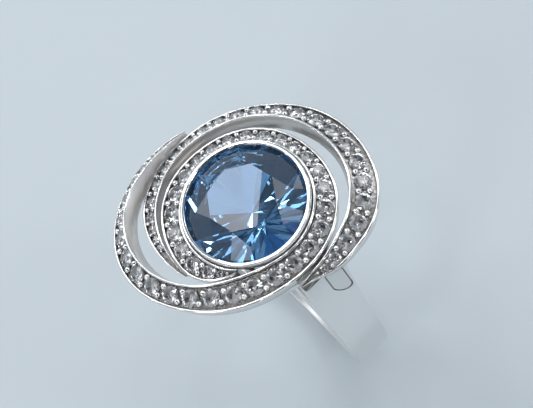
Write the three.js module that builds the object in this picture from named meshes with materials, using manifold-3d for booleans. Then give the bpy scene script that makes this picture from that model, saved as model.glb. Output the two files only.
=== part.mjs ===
// Cocktail ring: a round blue centre stone in a bezel, circled by a pave band that
// spirals out of the bezel, and crossed by a second pave band that arcs round it.
//
// Millimetres, +Z up through the centre stone. The origin is the centre of the finger
// hole, the finger goes through along Y, and the hoop of the shank lies in the XZ plane.

import * as THREE from 'three';
import { mergeVertices } from 'three/addons/utils/BufferGeometryUtils.js';
import Module from 'manifold-3d';

// ---------- driving dimensions ----------

const FINGER_RADIUS = 8.65;        // inner radius of the shank, US size 7
const SHANK_THICKNESS = 1.55;
const SHANK_WIDTH_BOTTOM = 2.6;
const SHANK_WIDTH_SIDE = 3.4;      // where the shoulders leave the hoop
const SHANK_WIDTH_TOP = 3.9;       // under the bands
const SHANK_EDGE = 0.2;            // chamfer on the shank's long edges
const SHANK_BYPASS = 0.5;          // sideways run of each shoulder, +Y at +X and -Y at -X
const SHANK_STEP = 6;              // degrees between sections of the hoop
const HOOP_END_ANGLE = 158;        // measured from the bottom of the hoop
const SHOULDER_START_ANGLE = 106;
const SHOULDER_THICKNESS = 1.2;
const SHOULDER_TOP = { x: 7.25, z: 11.5 }; // before it is fitted under the bands
const SHOULDER_STEPS = 12;
const PANEL_RADIUS = 0.8;          // U-shaped panel on each shoulder, outlined by a groove
const PANEL_MIDDLE = 1.12;         // to the same side as the bypass
const PANEL_BOTTOM = 7.75;
const PANEL_SKEW = 0.7;            // how steeply the panel's round end runs down sideways
const GROOVE_WIDTH = 0.12;
const GROOVE_DEPTH = 0.12;
const FOOT_HALF_LENGTH = 1.1;      // flat under the hoop that the ring stands on

const GALLERY_BOTTOM = 8.75;
const GALLERY_TOP = 9.4;
const GALLERY_INNER = 3.5;
const GALLERY_OUTER = 6.15;
const POST_AZIMUTHS = [57, 123, 237, 303];
const POST_RADIUS = 0.42;
const POST_FOOT_RADIUS = 5.45;     // distance of each post's foot from the stone's axis
const POST_HEAD_RADIUS = 5.6;
const POST_TOP = 12.1;             // before it is fitted under the halo

const STONE_RADIUS = 5.0;
const STONE_GIRDLE = 13.3;         // height of the centre stone's girdle
const STONE_FACETS = 16;
const BEZEL_LIP_TOP = 13.85;
const BEZEL_LIP_RADIUS = 4.8;      // the lip leans in over the girdle
const BEZEL_OUTER = 5.17;
const BEZEL_BOTTOM = 9.45;
const BEZEL_FOOT_RADIUS = 3.9;

const BAND_DEPTH = 1.5;
const BAND_TIP_DEPTH = 0.5;
const BAND_FLOOR = 0.35;           // least metal under the channel
const BAND_LEAN = 0.7;             // lean of the side walls: 0 upright, 1 square to the top
const BAND_CHANNEL_DEPTH = 0.82;
const BAND_RIM = 0.2;
const BAND_CHAMFER = 0.05;
const BAND_FOOT = 0.2;             // chamfer along the underside
const BAND_STEP = 5;               // degrees between sections

const PAVE_DIAMETER = 1.38;
const PAVE_SPACE = 0.4;            // from one stone's girdle to the next
const PAVE_SMALLEST = 1.02;        // the last stones in the tips are smaller and left out
const PAVE_SINK = 0.14;            // girdle below the tops of the rims
const PAVE_SIDE_GAP = 0.05;
const PAVE_FACETS = 8;

const GAP = 0.04;                  // between pieces that touch

// Round brilliant proportions, as parts of the girdle's diameter.
const TABLE_RATIO = 0.56;
const CROWN_RATIO = 0.15;
const PAVILION_RATIO = 0.425;
const GIRDLE_RATIO = 0.02;

// ---------- the two pave bands ----------

// A band is a spiral ribbon round the stone's axis. Each station gives the turn in
// degrees, then the radius and height of the inner rim, and of the outer rim. The tip
// taper is how many degrees a tip takes to grow to the full depth.
// The spiral band turns clockwise seen from above. It starts as a point against the
// bezel, makes one turn as the halo, and swings out to the -Y side to a second point.
const SPIRAL_BAND = {
  direction: -1,
  tipTaper: 40,
  stations: [
    { turn: 50, inner: [5.25, 13.45], outer: [5.50, 13.35] },
    { turn: 75, inner: [5.25, 13.50], outer: [6.80, 13.05] },
    { turn: 105, inner: [5.25, 13.50], outer: [6.95, 13.00] },
    { turn: 140, inner: [5.25, 13.50], outer: [7.05, 12.95] },
    { turn: 180, inner: [5.25, 13.50], outer: [6.75, 12.85] },
    { turn: 225, inner: [5.25, 13.50], outer: [6.75, 12.85] },
    { turn: 270, inner: [5.25, 13.50], outer: [6.70, 12.90] },
    { turn: 315, inner: [5.25, 13.50], outer: [7.10, 13.00] },
    { turn: 350, inner: [5.25, 13.50], outer: [7.20, 13.00] },
    { turn: 385, inner: [5.30, 13.50], outer: [7.50, 12.95] },
    { turn: 410, inner: [5.85, 13.40], outer: [8.25, 12.80] },
    { turn: 440, inner: [7.60, 13.30], outer: [9.65, 12.65] },
    { turn: 465, inner: [9.20, 13.20], outer: [10.95, 12.30] },
    { turn: 490, inner: [10.00, 13.20], outer: [11.30, 11.90] },
    { turn: 510, inner: [9.65, 13.20], outer: [10.75, 11.95] },
    { turn: 528, inner: [9.05, 13.10], outer: [9.90, 12.30] },
    { turn: 545, inner: [8.85, 12.80], outer: [9.02, 12.60] },
  ],
};

// The arc band turns anticlockwise. It starts as a point against the spiral band over
// the +X shoulder, bulges to the +Y side and tucks in beside the halo to end at -Y.
const ARC_BAND = {
  direction: 1,
  tipTaper: 25,
  stations: [
    { turn: -10, inner: [7.78, 12.62], outer: [7.90, 12.55] },
    { turn: -3, inner: [7.54, 12.80], outer: [8.06, 12.55] },
    { turn: 9, inner: [7.45, 12.92], outer: [8.70, 12.40] },
    { turn: 22, inner: [7.45, 13.00], outer: [9.20, 12.40] },
    { turn: 35, inner: [7.70, 13.05], outer: [9.80, 12.45] },
    { turn: 50, inner: [7.90, 13.10], outer: [10.15, 12.40] },
    { turn: 64, inner: [8.00, 13.10], outer: [10.15, 12.30] },
    { turn: 86, inner: [7.90, 13.10], outer: [9.95, 12.20] },
    { turn: 110, inner: [7.80, 13.10], outer: [9.60, 12.00] },
    { turn: 130, inner: [7.75, 13.00], outer: [9.25, 11.90] },
    { turn: 151, inner: [7.65, 12.90], outer: [9.05, 11.90] },
    { turn: 171, inner: [7.65, 12.80], outer: [9.00, 11.85] },
    { turn: 189, inner: [7.75, 12.70], outer: [9.00, 11.80] },
    { turn: 214, inner: [7.72, 12.55], outer: [9.15, 11.72] },
    { turn: 235, inner: [7.45, 12.50], outer: [8.60, 11.95] },
    { turn: 255, inner: [7.12, 12.40], outer: [7.75, 12.10] },
    { turn: 272, inner: [7.00, 12.30], outer: [7.12, 12.20] },
  ],
};

// ---------- materials ----------

const silver = new THREE.MeshStandardMaterial({ color: 0xd9dbde, roughness: 0.18, metalness: 1 });
const blueStone = new THREE.MeshStandardMaterial({ color: 0x3f6fa8, roughness: 0.03, metalness: 0 });
const clearStone = new THREE.MeshStandardMaterial({ color: 0xeef1f5, roughness: 0.03, metalness: 0 });

// ---------- geometry helpers ----------

const radians = THREE.MathUtils.degToRad;

// Closed body through a row of equal-sized loops. Each loop runs anticlockwise seen from
// the loops after it. Both ends are closed by the same triangles, which come from the
// outline of one loop in its own plane.
function loft(loops, outline) {
  const size = loops[0].length;
  const positions = loops.flat().flatMap((point) => [point.x, point.y, point.z]);
  const indices = [];
  for (let row = 0; row + 1 < loops.length; row += 1) {
    for (let i = 0; i < size; i += 1) {
      const next = (i + 1) % size;
      const a = row * size + i;
      const b = row * size + next;
      indices.push(a, b, a + size, b, b + size, a + size);
    }
  }
  const last = (loops.length - 1) * size;
  for (const [a, b, c] of THREE.ShapeUtils.triangulateShape(outline, [])) {
    indices.push(c, b, a);
    indices.push(last + a, last + b, last + c);
  }
  const geometry = new THREE.BufferGeometry();
  geometry.setAttribute('position', new THREE.Float32BufferAttribute(positions, 3));
  geometry.setIndex(indices);
  return geometry;
}

// Round body about Z from a closed profile of [radius, height] pairs.
function turned(profile, segments) {
  const points = profile.map(([radius, height]) => new THREE.Vector2(radius, height));
  const geometry = new THREE.LatheGeometry(points, segments);
  geometry.rotateX(Math.PI / 2);
  return geometry;
}

const wasm = await Module();
wasm.setup();

function toSolid(geometry) {
  const bare = geometry.clone();
  bare.deleteAttribute('normal');
  bare.deleteAttribute('uv');
  const merged = mergeVertices(bare, 1e-5);
  const mesh = new wasm.Mesh({
    numProp: 3,
    vertProperties: new Float32Array(merged.attributes.position.array),
    triVerts: new Uint32Array(merged.index.array),
  });
  return new wasm.Manifold(mesh);
}

function toGeometry(solid) {
  const mesh = solid.getMesh();
  const geometry = new THREE.BufferGeometry();
  geometry.setAttribute('position', new THREE.BufferAttribute(mesh.vertProperties, 3));
  geometry.setIndex(new THREE.BufferAttribute(mesh.triVerts, 1));
  return geometry;
}

// ---------- bands ----------

// Natural cubic spline through equally important stations: returns value(turn).
function splineThrough(turns, values) {
  const count = turns.length;
  const bend = new Array(count).fill(0);
  const carry = new Array(count).fill(0);
  const rest = new Array(count).fill(0);
  for (let i = 1; i < count - 1; i += 1) {
    const before = turns[i] - turns[i - 1];
    const after = turns[i + 1] - turns[i];
    const slopeChange = (values[i + 1] - values[i]) / after - (values[i] - values[i - 1]) / before;
    const pivot = 2 * (before + after) - before * carry[i - 1];
    carry[i] = after / pivot;
    rest[i] = (6 * slopeChange - before * rest[i - 1]) / pivot;
  }
  for (let i = count - 2; i > 0; i -= 1) {
    bend[i] = rest[i] - carry[i] * bend[i + 1];
  }
  return (turn) => {
    let i = 0;
    while (i < count - 2 && turn > turns[i + 1]) {
      i += 1;
    }
    const step = turns[i + 1] - turns[i];
    const left = (turns[i + 1] - turn) / step;
    const right = 1 - left;
    const cubic = (left ** 3 - left) * bend[i] + (right ** 3 - right) * bend[i + 1];
    return left * values[i] + right * values[i + 1] + (cubic * step * step) / 6;
  };
}

// The band at any turn: the inner and outer rim, the width and depth there, and the
// directions across the top, square to the top, and up the side walls.
function bandShape({ direction, tipTaper, stations }) {
  const turns = stations.map((station) => station.turn);
  const innerRadius = splineThrough(turns, stations.map((station) => station.inner[0]));
  const innerHeight = splineThrough(turns, stations.map((station) => station.inner[1]));
  const outerRadius = splineThrough(turns, stations.map((station) => station.outer[0]));
  const outerHeight = splineThrough(turns, stations.map((station) => station.outer[1]));
  const start = turns[0];
  const end = turns[turns.length - 1];
  const at = (turn) => {
    const azimuth = direction * radians(turn);
    const outward = new THREE.Vector3(Math.cos(azimuth), Math.sin(azimuth), 0);
    const up = new THREE.Vector3(0, 0, 1);
    const inner = outward.clone().multiplyScalar(innerRadius(turn)).addScaledVector(up, innerHeight(turn));
    const outer = outward.clone().multiplyScalar(outerRadius(turn)).addScaledVector(up, outerHeight(turn));
    const across = outer.clone().sub(inner);
    const width = across.length();
    across.normalize();
    const normal = outward.clone().multiplyScalar(-across.z).addScaledVector(up, across.dot(outward));
    const wall = up.clone().lerp(normal, BAND_LEAN).normalize();
    const fullness = Math.min((turn - start) / tipTaper, (end - turn) / tipTaper, 1);
    const depth = THREE.MathUtils.lerp(BAND_TIP_DEPTH, BAND_DEPTH, fullness);
    return { inner, outer, across, normal, wall, width, depth };
  };
  return { direction, at, start, end };
}

// Section of a band: a channel between two rims, as [across, height] from the inner rim.
function bandOutline(width, depth) {
  const channel = Math.min(BAND_CHANNEL_DEPTH, depth - BAND_FLOOR);
  const rim = Math.min(BAND_RIM, 0.3 * width);
  const chamfer = Math.min(BAND_CHAMFER, 0.08 * width);
  const foot = Math.min(BAND_FOOT, 0.25 * width);
  return [
    [foot, -depth],
    [width - foot, -depth],
    [width, foot - depth],
    [width, -chamfer],
    [width - chamfer, 0],
    [width - rim, 0],
    [width - rim, -channel],
    [rim, -channel],
    [rim, 0],
    [chamfer, 0],
    [0, -chamfer],
    [0, foot - depth],
  ];
}

// Solid outline of a band with a gap all round, to fit other pieces under it.
function bandKeepOut(width, depth) {
  const above = 1;
  return [
    [-GAP, -depth - GAP],
    [width + GAP, -depth - GAP],
    [width + GAP, above],
    [-GAP, above],
  ];
}

function bandGeometry(band, outlineFor = bandOutline) {
  const steps = Math.round((band.end - band.start) / BAND_STEP);
  const loops = [];
  for (let i = 0; i <= steps; i += 1) {
    const turn = THREE.MathUtils.lerp(band.start, band.end, i / steps);
    const { inner, across, wall, width, depth } = band.at(turn);
    const place = ([side, height]) => inner.clone().addScaledVector(across, side).addScaledVector(wall, height);
    loops.push(outlineFor(width, depth).map(place));
  }
  if (band.direction > 0) {
    loops.reverse();
  }
  const outline = outlineFor(1.5, BAND_DEPTH).map(([side, height]) => new THREE.Vector2(side, height));
  return loft(loops, outline);
}

// Cuts a solid back to a gap's width from each band, and drops any sliver cut loose.
function fitUnder(solid, bands) {
  const cutters = bands.map((band) => toSolid(bandGeometry(band, bandKeepOut)));
  const fitted = cutters.reduce((rest, cutter) => rest.subtract(cutter), solid);
  const bodies = fitted.decompose();
  return bodies.reduce((largest, body) => (body.volume() > largest.volume() ? body : largest));
}

// ---------- stones ----------

// Round brilliant with a plain crown and pavilion, girdle at z = 0.
function brilliant(diameter, facets) {
  const radius = diameter / 2;
  const girdle = (diameter * GIRDLE_RATIO) / 2;
  const profile = [
    [0, -diameter * PAVILION_RATIO],
    [radius, -girdle],
    [radius, girdle],
    [radius * TABLE_RATIO, diameter * CROWN_RATIO],
    [0, diameter * CROWN_RATIO],
  ];
  return turned(profile, facets);
}

// Stones in a row along the middle of a band, with the same space between neighbours,
// each no wider than the channel leaves room for. Every place has a diameter, a centre
// and a normal.
function paveRow(band) {
  const places = [];
  const fineStep = 0.5;
  let travelled = PAVE_DIAMETER;
  let previous = null;
  for (let turn = band.start; turn <= band.end; turn += fineStep) {
    const { inner, outer, normal, width } = band.at(turn);
    const middle = inner.clone().lerp(outer, 0.5);
    travelled += previous ? middle.distanceTo(previous) : 0;
    previous = middle;
    const room = width - 2 * (BAND_RIM + PAVE_SIDE_GAP);
    const diameter = Math.min(PAVE_DIAMETER, room);
    if (travelled >= diameter / 2 + PAVE_SPACE && diameter >= PAVE_SMALLEST) {
      travelled = -diameter / 2;
      places.push({ diameter, normal, centre: middle.addScaledVector(normal, -PAVE_SINK) });
    }
  }
  return places;
}

// ---------- shank ----------

// Chamfered rectangle, as [across the width, through the thickness].
function barOutline(width, thickness) {
  const x = width / 2;
  const y = thickness / 2;
  const edge = SHANK_EDGE;
  return [
    [-x + edge, -y], [x - edge, -y], [x, -y + edge], [x, y - edge],
    [x - edge, y], [-x + edge, y], [-x, y - edge], [-x, -y + edge],
  ];
}

// Body of bar section along a path in the XZ plane. Each row of the path gives the
// point, the outward direction, the sideways shift, the width and the thickness.
function barAlong(rows) {
  const loops = rows.map(({ point, outward, shift, width, thickness }) => (
    barOutline(width, thickness).map(([side, height]) => new THREE.Vector3(
      point.x + outward.x * height,
      shift + side,
      point.y + outward.y * height,
    ))
  ));
  const outline = barOutline(1.5, 1).map(([side, height]) => new THREE.Vector2(side, height));
  return loft(loops.reverse(), outline);
}

// How far round from the bottom of the hoop to a shoulder, 0 to 1.
const shoulderShare = (angle) => THREE.MathUtils.smoothstep(Math.abs(angle), 0, SHOULDER_START_ANGLE);

function hoopRow(angle) {
  const outward = new THREE.Vector2(Math.sin(radians(angle)), -Math.cos(radians(angle)));
  const share = shoulderShare(angle);
  return {
    point: outward.clone().multiplyScalar(FINGER_RADIUS + SHANK_THICKNESS / 2),
    outward,
    shift: 0,
    width: THREE.MathUtils.lerp(SHANK_WIDTH_BOTTOM, SHANK_WIDTH_SIDE, share),
    thickness: SHANK_THICKNESS,
  };
}

function hoopGeometry() {
  const rows = [];
  const steps = Math.round((2 * HOOP_END_ANGLE) / SHANK_STEP);
  for (let i = 0; i <= steps; i += 1) {
    rows.push(hoopRow(THREE.MathUtils.lerp(-HOOP_END_ANGLE, HOOP_END_ANGLE, i / steps)));
  }
  return barAlong(rows);
}

// Shoulder on the +X side: leaves the hoop along its tangent and rises to the bands. It
// can be moved in by an inset, to measure depths from its outer face.
function shoulderGeometry(inset = 0) {
  const angle = radians(SHOULDER_START_ANGLE);
  const radius = FINGER_RADIUS + SHANK_THICKNESS - SHOULDER_THICKNESS / 2;
  const start = new THREE.Vector2(radius * Math.sin(angle), -radius * Math.cos(angle));
  const end = new THREE.Vector2(SHOULDER_TOP.x, SHOULDER_TOP.z);
  const reach = start.distanceTo(end) / 3;
  const leave = new THREE.Vector2(Math.cos(angle), Math.sin(angle)).multiplyScalar(reach);
  const arrive = new THREE.Vector2(0, -reach);
  const path = new THREE.CubicBezierCurve(start, start.clone().add(leave), end.clone().add(arrive), end);
  const rows = [];
  for (let i = 0; i <= SHOULDER_STEPS; i += 1) {
    const share = i / SHOULDER_STEPS;
    const tangent = path.getTangent(share);
    const outward = new THREE.Vector2(tangent.y, -tangent.x);
    rows.push({
      point: path.getPoint(share).addScaledVector(outward, -inset),
      outward,
      shift: SHANK_BYPASS * share,
      width: THREE.MathUtils.lerp(SHANK_WIDTH_SIDE, SHANK_WIDTH_TOP, share),
      thickness: SHOULDER_THICKNESS,
    });
  }
  return barAlong(rows);
}

// U-shaped prism along X, from inside the +X shoulder to well outside it.
function panelPrism(radius) {
  const above = SHOULDER_TOP.z + 2;
  const outline = new THREE.Shape();
  outline.moveTo(PANEL_MIDDLE + radius, above);
  outline.lineTo(PANEL_MIDDLE - radius, above);
  outline.lineTo(PANEL_MIDDLE - radius, PANEL_BOTTOM + PANEL_RADIUS);
  outline.absarc(PANEL_MIDDLE, PANEL_BOTTOM + PANEL_RADIUS, radius, Math.PI, 2 * Math.PI, false);
  outline.closePath();
  const prism = new THREE.ExtrudeGeometry(outline, {
    depth: 2,
    bevelEnabled: false,
    curveSegments: 10,
  });
  // The outline's plane becomes YZ, skewed, and the extrusion runs along X.
  prism.applyMatrix4(new THREE.Matrix4().set(
    0, 0, 1, SHOULDER_TOP.x,
    1, 0, 0, 0,
    -PANEL_SKEW, 1, 0, PANEL_SKEW * PANEL_MIDDLE,
    0, 0, 0, 1,
  ));
  return toSolid(prism);
}

// Cutter for the groove round the panel on the +X side: one prism less a smaller one, and
// less the shoulder itself moved in by the groove's depth.
function grooveCutter() {
  const border = panelPrism(PANEL_RADIUS).subtract(panelPrism(PANEL_RADIUS - GROOVE_WIDTH));
  return border.subtract(toSolid(shoulderGeometry(GROOVE_DEPTH)));
}

function box(minimum, maximum) {
  const low = new THREE.Vector3(...minimum);
  const high = new THREE.Vector3(...maximum);
  const size = high.clone().sub(low);
  const middle = low.clone().add(high).multiplyScalar(0.5);
  return new THREE.BoxGeometry(size.x, size.y, size.z).translate(middle.x, middle.y, middle.z);
}

function shankGeometry(bands) {
  let solid = toSolid(hoopGeometry());
  const reach = GALLERY_OUTER + 2 * GAP;
  const underGallery = box([-reach, -reach, GALLERY_BOTTOM - GAP], [reach, reach, BEZEL_LIP_TOP]);
  const outerRadius = FINGER_RADIUS + SHANK_THICKNESS;
  const footHeight = -Math.sqrt(outerRadius ** 2 - FOOT_HALF_LENGTH ** 2);
  const underFoot = box([-reach, -reach, -2 * outerRadius], [reach, reach, footHeight]);
  for (const turn of [0, 180]) {
    solid = solid.add(toSolid(shoulderGeometry().rotateZ(radians(turn))));
    solid = solid.subtract(grooveCutter().rotate([0, 0, turn]));
  }
  solid = solid.subtract(toSolid(underGallery)).subtract(toSolid(underFoot));
  return toGeometry(fitUnder(solid, bands));
}

// ---------- head ----------

// Flat round base of the basket, which bridges the ends of the hoop.
function galleryBaseGeometry() {
  const edge = 0.15;
  return turned([
    [GALLERY_INNER, GALLERY_BOTTOM],
    [GALLERY_OUTER - edge, GALLERY_BOTTOM],
    [GALLERY_OUTER, GALLERY_BOTTOM + edge],
    [GALLERY_OUTER, GALLERY_TOP - edge],
    [GALLERY_OUTER - edge, GALLERY_TOP],
    [GALLERY_INNER, GALLERY_TOP],
    [GALLERY_INNER, GALLERY_BOTTOM],
  ], 48);
}

// Post from the base of the basket to the underside of the halo, leaning out a little.
function postGeometry(azimuth) {
  const foot = new THREE.Vector3(POST_FOOT_RADIUS, 0, GALLERY_TOP - 0.2);
  const head = new THREE.Vector3(POST_HEAD_RADIUS, 0, POST_TOP);
  const geometry = new THREE.CylinderGeometry(POST_RADIUS, POST_RADIUS, foot.distanceTo(head), 12);
  const along = head.clone().sub(foot).normalize();
  const turn = new THREE.Quaternion().setFromUnitVectors(new THREE.Vector3(0, 1, 0), along);
  const middle = foot.clone().lerp(head, 0.5);
  geometry.applyQuaternion(turn).translate(middle.x, middle.y, middle.z);
  return geometry.rotateZ(radians(azimuth));
}

function galleryGeometry(bands) {
  let solid = toSolid(galleryBaseGeometry());
  for (const azimuth of POST_AZIMUTHS) {
    solid = solid.add(toSolid(postGeometry(azimuth)));
  }
  return toGeometry(fitUnder(solid, bands));
}

// Cup that holds the centre stone: a cone with a ledge under the girdle and a thin lip.
function bezelGeometry() {
  const ledge = STONE_GIRDLE - 0.35;
  const wall = 0.6;
  return turned([
    [BEZEL_FOOT_RADIUS - wall, BEZEL_BOTTOM],
    [BEZEL_FOOT_RADIUS, BEZEL_BOTTOM],
    [BEZEL_OUTER - 0.9, ledge - 1.35],
    [BEZEL_OUTER - 0.6, ledge - 0.6],
    [BEZEL_OUTER - 0.25, ledge],
    [BEZEL_OUTER, STONE_GIRDLE],
    [BEZEL_OUTER, BEZEL_LIP_TOP - 0.08],
    [BEZEL_OUTER - 0.1, BEZEL_LIP_TOP],
    [BEZEL_LIP_RADIUS, BEZEL_LIP_TOP - 0.04],
    [STONE_RADIUS + GAP, STONE_GIRDLE + 0.2],
    [STONE_RADIUS + GAP, STONE_GIRDLE - 0.12],
    [STONE_RADIUS - 0.35, ledge - 0.12],
    [BEZEL_FOOT_RADIUS - wall, BEZEL_BOTTOM],
  ], 64);
}

// ---------- assembly ----------

const ring = new THREE.Group();

function addPart(name, geometry, material) {
  const mesh = new THREE.Mesh(geometry, material.clone());
  mesh.name = name;
  ring.add(mesh);
  return mesh;
}

const spiralBand = bandShape(SPIRAL_BAND);
const arcBand = bandShape(ARC_BAND);
const bands = [spiralBand, arcBand];

addPart('shank', shankGeometry(bands), silver);
addPart('gallery_basket', galleryGeometry(bands), silver);
addPart('bezel_cup', bezelGeometry(), silver);
addPart('spiral_band', bandGeometry(spiralBand), silver);
addPart('arc_band', bandGeometry(arcBand), silver);

const centreStone = addPart('centre_stone', brilliant(2 * STONE_RADIUS, STONE_FACETS), blueStone);
centreStone.position.z = STONE_GIRDLE;

const PAVE_ROWS = { spiral_stone: paveRow(spiralBand), arc_stone: paveRow(arcBand) };
for (const [name, places] of Object.entries(PAVE_ROWS)) {
  places.forEach(({ diameter, centre, normal }, index) => {
    const number = String(index + 1).padStart(2, '0');
    const stone = addPart(`${name}_${number}`, brilliant(diameter, PAVE_FACETS), clearStone);
    stone.position.copy(centre);
    stone.quaternion.setFromUnitVectors(new THREE.Vector3(0, 0, 1), normal);
  });
}

export default ring;
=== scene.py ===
# Looks of the cocktail ring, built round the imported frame. Lengths are in millimetres
# until a mesh, light or camera is made, where MM turns them into metres.
import math

import bmesh
import bpy
import numpy as np
from mathutils import Matrix, Vector


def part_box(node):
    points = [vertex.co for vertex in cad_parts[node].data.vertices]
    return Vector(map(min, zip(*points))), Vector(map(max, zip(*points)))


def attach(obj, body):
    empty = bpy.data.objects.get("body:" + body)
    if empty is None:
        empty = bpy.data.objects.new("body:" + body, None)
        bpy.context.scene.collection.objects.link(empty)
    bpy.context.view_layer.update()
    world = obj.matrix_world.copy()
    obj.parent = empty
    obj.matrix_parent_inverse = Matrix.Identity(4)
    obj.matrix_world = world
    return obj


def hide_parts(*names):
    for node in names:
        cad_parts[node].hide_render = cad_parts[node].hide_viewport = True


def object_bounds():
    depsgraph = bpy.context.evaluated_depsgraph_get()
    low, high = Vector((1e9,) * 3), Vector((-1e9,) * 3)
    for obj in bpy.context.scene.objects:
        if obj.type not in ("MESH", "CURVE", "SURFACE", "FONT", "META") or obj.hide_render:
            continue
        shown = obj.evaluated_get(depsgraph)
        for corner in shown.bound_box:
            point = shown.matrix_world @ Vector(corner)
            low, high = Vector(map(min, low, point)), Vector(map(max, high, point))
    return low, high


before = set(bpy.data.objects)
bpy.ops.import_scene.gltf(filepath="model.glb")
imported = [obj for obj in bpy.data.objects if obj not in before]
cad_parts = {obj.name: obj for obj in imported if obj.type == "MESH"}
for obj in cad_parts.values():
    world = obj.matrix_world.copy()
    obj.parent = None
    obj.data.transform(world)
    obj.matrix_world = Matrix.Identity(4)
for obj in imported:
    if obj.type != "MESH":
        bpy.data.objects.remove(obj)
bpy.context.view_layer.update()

MM = 0.001

# ---------- driving dimensions ----------

# Bands, as in the frame: turn in degrees, then radius and height of the inner rim and
# of the outer rim. The spiral band turns clockwise seen from above, the arc band not.
# The tip taper is how many degrees a tip takes to grow to the full depth.
SPIRAL_BAND = {
    "node": "spiral_band",
    "stones": "spiral_stone",
    "direction": -1,
    "tip_taper": 40.0,
    "stations": [
        (50, (5.25, 13.45), (5.50, 13.35)),
        (75, (5.25, 13.50), (6.80, 13.05)),
        (105, (5.25, 13.50), (6.95, 13.00)),
        (140, (5.25, 13.50), (7.05, 12.95)),
        (180, (5.25, 13.50), (6.75, 12.85)),
        (225, (5.25, 13.50), (6.75, 12.85)),
        (270, (5.25, 13.50), (6.70, 12.90)),
        (315, (5.25, 13.50), (7.10, 13.00)),
        (350, (5.25, 13.50), (7.20, 13.00)),
        (385, (5.30, 13.50), (7.50, 12.95)),
        (410, (5.85, 13.40), (8.25, 12.80)),
        (440, (7.60, 13.30), (9.65, 12.65)),
        (465, (9.20, 13.20), (10.95, 12.30)),
        (490, (10.00, 13.20), (11.30, 11.90)),
        (510, (9.65, 13.20), (10.75, 11.95)),
        (528, (9.05, 13.10), (9.90, 12.30)),
        (545, (8.85, 12.80), (9.02, 12.60)),
    ],
}
ARC_BAND = {
    "node": "arc_band",
    "stones": "arc_stone",
    "direction": 1,
    "tip_taper": 25.0,
    "stations": [
        (-10, (7.78, 12.62), (7.90, 12.55)),
        (-3, (7.54, 12.80), (8.06, 12.55)),
        (9, (7.45, 12.92), (8.70, 12.40)),
        (22, (7.45, 13.00), (9.20, 12.40)),
        (35, (7.70, 13.05), (9.80, 12.45)),
        (50, (7.90, 13.10), (10.15, 12.40)),
        (64, (8.00, 13.10), (10.15, 12.30)),
        (86, (7.90, 13.10), (9.95, 12.20)),
        (110, (7.80, 13.10), (9.60, 12.00)),
        (130, (7.75, 13.00), (9.25, 11.90)),
        (151, (7.65, 12.90), (9.05, 11.90)),
        (171, (7.65, 12.80), (9.00, 11.85)),
        (189, (7.75, 12.70), (9.00, 11.80)),
        (214, (7.72, 12.55), (9.15, 11.72)),
        (235, (7.45, 12.50), (8.60, 11.95)),
        (255, (7.12, 12.40), (7.75, 12.10)),
        (272, (7.00, 12.30), (7.12, 12.20)),
    ],
}
BAND_DEPTH = 1.5
BAND_TIP_DEPTH = 0.5
BAND_LEAN = 0.7            # lean of the side walls: 0 upright, 1 square to the top
BAND_RIM = 0.22
BAND_RIM_SHARE = 0.2       # most of a narrow band's width that one rim takes
BAND_EDGE = 0.05           # rounding along a rim
BAND_FOOT = 0.2            # rounding along the underside
BAND_LEAST_METAL = 0.15    # under the floor and the seats
BAND_STEP = 0.07           # between sections, along the middle of the band
FLOOR_DEPTH = 0.32         # floor of the channel below the tops of the rims
FLOOR_TAPER = 0.04         # how much the floor is narrower than the channel's mouth, each side
FLOOR_POINTS = 13
SEAT_GAP = 0.03            # between a stone's pavilion and its seat

PAVE_SINK = 0.14           # girdle below the tops of the rims
PAVE_TIP_SPACE = 0.2       # from one girdle to the next, for the small stones in the tips
PAVE_TIP_STEP = 0.25       # degrees between the places tried for them
PAVE_SMALLEST = 0.42
PAVE_SIDE_GAP = 0.05
PAVE_TURN = 0.7            # radians by which each stone is turned more than the last
CENTRE_TURN = 0.2          # radians by which the centre stone is turned
BEAD_RADIUS = 0.2          # part of the neighbouring stones' diameter
BEAD_SIDE = 0.31           # off the middle of the band, likewise
BEAD_PAST_END = 0.62       # past the last stone, as part of the way between two stones
BEAD_TOP = 0.08            # above the rims
BEAD_ROOT = 0.1            # below the floor
BEAD_FLARE = 1.15          # of the foot
BEAD_DOME = 100.0          # degrees of dome from the top
BEAD_CLEAR = 2.0           # degrees without beads at both ends of a band

FINGER_RADIUS = 8.65
SHANK_THICKNESS = 1.55
SHANK_WIDTH_BOTTOM = 2.6
SHANK_WIDTH_SIDE = 3.4
SHANK_WIDTH_TOP = 3.9
SHANK_EDGE = 0.2
SHANK_BYPASS = 0.5         # sideways run of each shoulder
HOOP_END = 157.0           # degrees from the bottom of the hoop
SHOULDER_START = 106.0
SHOULDER_STEPS = 40
HOOP_STEP = 1.5
HOOP_THINS_FROM = 98.0     # towards the shoulders' thickness
INNER_ARC_STEP_IN = 0.03   # inside the sides and outer face of the hoop
BASKET_ROOM = 6.25         # half the width cut out of the hoop for the basket
SHOULDER_THICKNESS = 1.2
SHOULDER_TOP = (7.25, 11.5)
PANEL_RADIUS = 0.8         # U-shaped panel on each shoulder, outlined by a groove
PANEL_MIDDLE = 1.12
PANEL_BOTTOM = 7.75
PANEL_SKEW = 0.7           # how steeply its round end runs down sideways
GROOVE_WIDTH = 0.12
GROOVE_DEPTH = 0.12
FLAT_TOLERANCE = 0.02      # in height, for telling which face of the shank is which
PANEL_TOLERANCE = 0.01     # in distance from the panel's middle, likewise
FOOT_FLAT = 4              # half the size of the block that cuts the flat to stand on

BEZEL_FOOT = 3.9
BEZEL_WALL = 0.6
BEZEL_LEDGE = 0.35         # below the girdle
BASKET_INNER = 3.5
BASKET_THICKNESS = 0.65
POST_AZIMUTHS = (57, 123, 237, 303)
POST_FOOT = 5.45
POST_HEAD = 5.6
POST_RADII = ((0, 0.5), (0.1, 0.46), (0.2, 0.43), (0.3, 0.42), (1, 0.42))  # share of height, radius

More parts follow.
